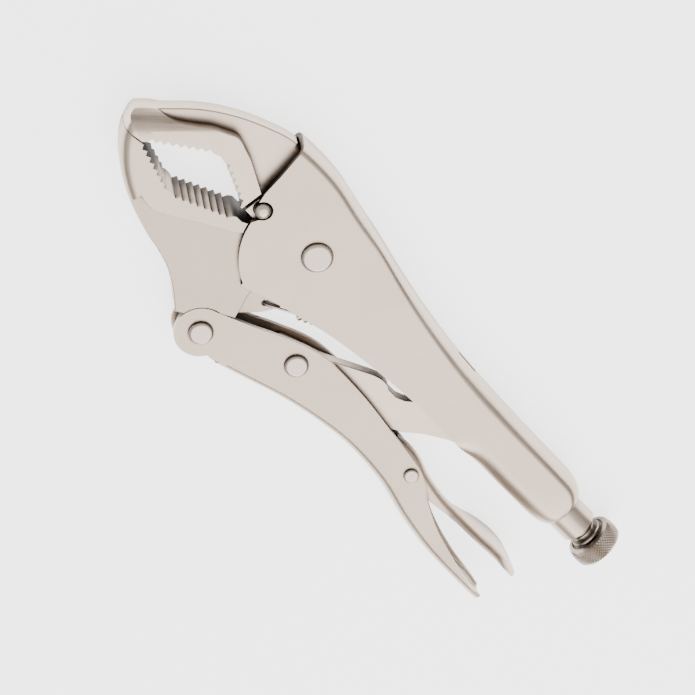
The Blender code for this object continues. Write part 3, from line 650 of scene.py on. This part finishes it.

# ---------------------------------------------------------------- tension spring
# Close-coiled steel wire, hooked between the lower jaw's lug and a slit in the fixed handle's spine. It
# shortens as the jaw opens.

spring_wire = Surface("spring_wire", Roughness=0.32)
spring_wire.give("Base Color", spring_wire.between(spring_wire.noise(2.0), (0.42, 0.39, 0.36),
                                                   (0.66, 0.62, 0.57)))
COILS, COIL_STEPS, COIL_RADIUS, WIRE_RADIUS = 20, 16, 2.7, 0.55
spring_from, spring_to = Vector((*HOOK, 0.0)), Vector((68.0, 5.2, 0.0))
along = (spring_to - spring_from).normalized()
length = (spring_to - spring_from).length
side = Vector((0.0, 0.0, 1.0))
across = side.cross(along)
wire = [spring_from - side * 3.4, spring_from + side * 2.4, spring_from + along * 0.7 + side * 3.2,
        spring_from + along * 5.0 + side * 2.8]
for i in range(COILS * COIL_STEPS + 1):
    turn = 2 * math.pi * i / COIL_STEPS
    wire.append(spring_from + along * length * (0.17 + 0.69 * i / (COILS * COIL_STEPS))
                + COIL_RADIUS * (side * math.cos(turn) + across * math.sin(turn)))
wire += [spring_to - along * 5.0 + side * 1.6, spring_to - along * 2.0, spring_to]
wire_curve = bpy.data.curves.new("spring_wire", "CURVE")
wire_curve.dimensions, wire_curve.bevel_depth, wire_curve.bevel_resolution = "3D", WIRE_RADIUS, 3
wire_curve.use_fill_caps = True
spring = placed("coil_spring", form_of(wire_curve, wire, False))
spring.data.materials.clear()
spring.data.materials.append(spring_wire.material)
spring.data.shade_smooth()
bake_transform(spring)
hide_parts("tension_spring")

# ---------------------------------------------------------------- adjusting screw and knob
# A steel screw with a rolled thread, in the handle's tube and ended by a thin collar. The knurled disc knob
# is pressed on behind the collar, and turning it moves the screw along the tube.

screw_steel = satin_nickel("screw_steel", (0.60, 0.50, 0.42), (0.48, 0.40, 0.33), (0.13, 0.105, 0.085),
                           (0.24, 0.34), (1, 1, 1), 0.2)
ALONG_X = Matrix.Translation((0.0, SCREW_Y, 0.0)) @ Matrix.Rotation(math.radians(90), 4, "Y")
THREAD_ROOT, THREAD_CREST, THREAD_PITCH, THREAD_STEPS = 4.25, 4.85, 1.5, 36
SCREW_FRONT, SCREW_BACK = 101.3, 156.9
screw = bmesh.new()
spin_profile(screw, [(0.0, 163.4), (2.8, 163.4), (2.8, 157.9), (5.75, 157.9), (6.0, 157.65), (6.0, 157.15),
                     (5.75, SCREW_BACK), (THREAD_ROOT, SCREW_BACK), (THREAD_ROOT, SCREW_FRONT + 1.2),
                     (2.9, SCREW_FRONT), (0.0, SCREW_FRONT)])
turns = int((SCREW_BACK - SCREW_FRONT - 3.0) / THREAD_PITCH)
ridge = [screw.verts.new((r, 0.0, SCREW_FRONT + 1.6 + h)) for r, h in
         ((THREAD_ROOT - 0.15, 0.0), (THREAD_CREST, 0.62), (THREAD_CREST, 0.88), (THREAD_ROOT - 0.15, 1.5))]
bmesh.ops.spin(screw, geom=[screw.faces.new(ridge)], cent=(0, 0, 0), axis=(0, 0, 1),
               angle=2 * math.pi * turns, steps=THREAD_STEPS * turns,
               dvec=(0, 0, THREAD_PITCH / THREAD_STEPS))
bmesh.ops.transform(screw, matrix=ALONG_X, verts=screw.verts)
adjusting_screw = placed("threaded_screw", screw)
finished(adjusting_screw, screw_steel, "adjusting_screw", "screw_steel", "adjusting_screw")

knob = bmesh.new()
KNOB_FRONT, KNOB_BACK, KNOB_RADIUS = 158.2, 165.8, 9.4
ROWS, AROUND = 11, 96
KNURL_PEAK, KNURL_DIP = 0.2, -0.22
rows = [(KNOB_RADIUS - 0.2 - 0.55 * abs((i - 4.5) / 5) ** 3,
         KNOB_BACK - 0.6 - i * (KNOB_BACK - KNOB_FRONT - 1.0) / (ROWS - 1)) for i in range(ROWS)]
spin_profile(knob, [(0.0, KNOB_BACK), (7.2, KNOB_BACK)] + rows
             + [(7.1, KNOB_FRONT), (6.8, KNOB_FRONT + 0.7), (6.4, KNOB_FRONT + 1.0), (3.1, KNOB_FRONT + 1.3),
                (3.1, KNOB_BACK - 2.0), (0.0, KNOB_BACK - 2.0)], AROUND)
for vert in knob.verts:
    radius = math.hypot(vert.co.x, vert.co.y)
    row = min(range(ROWS), key=lambda i: abs(rows[i][1] - vert.co.z))
    if abs(rows[row][1] - vert.co.z) < 0.01 and radius > 8.0:
        around = round(math.atan2(vert.co.y, vert.co.x) / (2 * math.pi / AROUND))
        grown = 1 + (KNURL_PEAK if (around + row) % 2 else KNURL_DIP) / radius
        vert.co.x, vert.co.y = vert.co.x * grown, vert.co.y * grown
rim_faces = [f for f in knob.faces if all(math.hypot(v.co.x, v.co.y) > 7.7 for v in f.verts)]
bmesh.ops.triangulate(knob, faces=rim_faces, quad_method="SHORT_EDGE")
bmesh.ops.transform(knob, matrix=ALONG_X, verts=knob.verts)
finished(placed("knob_turned", knob), screw_steel, "knurled_knob", "nickel_plate", "knurled_knob")

# ---------------------------------------------------------------- studio
# A lit white sweep under an even sky of soft light, with darker surroundings low down that draw the dark
# lines along the bends. A long lens looks down on the tool from the side of the jaws.

FLOOR_GLOW = 2.6
SKY_STRENGTH = 1.05
RING_DARK, RING_LIGHT = 0.03, 0.30
FLOOR_SIZE, FLOOR_GAP = 3000, 0.05
floor_form = bmesh.new()
bmesh.ops.create_grid(floor_form, x_segments=1, y_segments=1, size=FLOOR_SIZE)
bmesh.ops.translate(floor_form, verts=floor_form.verts, vec=(0, 0, -MIDDLE / MM - FLOOR_GAP))
floor = placed("floor", floor_form)
paper = Surface("white_paper", Roughness=0.9)
paper.shader.inputs["Metallic"].default_value = 0.0
paper.shader.inputs["Base Color"].default_value = (0.96, 0.96, 0.96, 1.0)
paper.shader.inputs["Emission Color"].default_value = (1.0, 1.0, 1.0, 1.0)
paper.shader.inputs["Emission Strength"].default_value = FLOOR_GLOW
floor.data.materials.append(paper.material)

world = bpy.data.worlds.new("studio")
bpy.context.scene.world = world
world.use_nodes = True


class Sky(Surface):
    """The same node calls, on the world's tree."""

    def __init__(self, tree):
        self.tree = tree


sky = Sky(world.node_tree)
direction = sky.node("ShaderNodeTexCoord", "Generated")
height = sky.node("ShaderNodeSeparateXYZ", "Z", Vector=direction)
facing = sky.node("ShaderNodeVectorMath", "Value", {"operation": "DOT_PRODUCT"}, input_0=direction,
                  input_1=(0.35, -0.94, 0.0))
ring = sky.spread(facing, -0.9, 0.9) * (RING_LIGHT - RING_DARK) + RING_DARK
grey = ring + (1.0 - ring) * sky.spread(height, 0.18, 0.74)
tint = sky.between(grey, (0.0, 0.0, 0.0), (1.0, 0.985, 0.965))
sky.tree.links.new(tint.socket, sky.tree.nodes["Background"].inputs["Color"])
sky.tree.nodes["Background"].inputs["Strength"].default_value = SKY_STRENGTH

RIGHT = Vector((0.6354, 0.7642, 0.1101))
UP = Vector((-0.6354, 0.5986, -0.4877))
BACK = Vector((-0.4386, 0.2399, 0.866))


def soft_light(name, towards, distance, size, power):
    """A square lamp that faces the tool from this direction."""
    lamp = bpy.data.lights.new(name, "AREA")
    lamp.energy, lamp.size = power, size
    light = bpy.data.objects.new(name, lamp)
    light.matrix_world = (Matrix.Translation(towards.normalized() * distance)
                          @ towards.to_track_quat("Z", "Y").to_matrix().to_4x4())
    bpy.context.scene.collection.objects.link(light)


soft_light("key", Vector((0.80, -0.45, 0.55)), 1.2, 0.5, 3.0)
soft_light("softbox", Vector((0.4386, -0.24, 0.866)), 1.5, 1.5, 17.0)

FRAME_WIDTH = 0.24386
LENS, SENSOR = 400.0, 36.0
camera = bpy.data.objects.new("camera", bpy.data.cameras.new("camera"))
camera.data.lens, camera.data.sensor_width = LENS, SENSOR
camera.data.clip_end = 20.0
centre = Vector((0.0, 0.0, MIDDLE)) + RIGHT * 0.01154 - UP * 0.03544
look = Matrix((RIGHT, UP, BACK)).transposed().to_4x4()
camera.matrix_world = Matrix.Translation(centre + BACK * FRAME_WIDTH * LENS / SENSOR) @ look
bpy.context.scene.collection.objects.link(camera)
bpy.context.scene.camera = camera
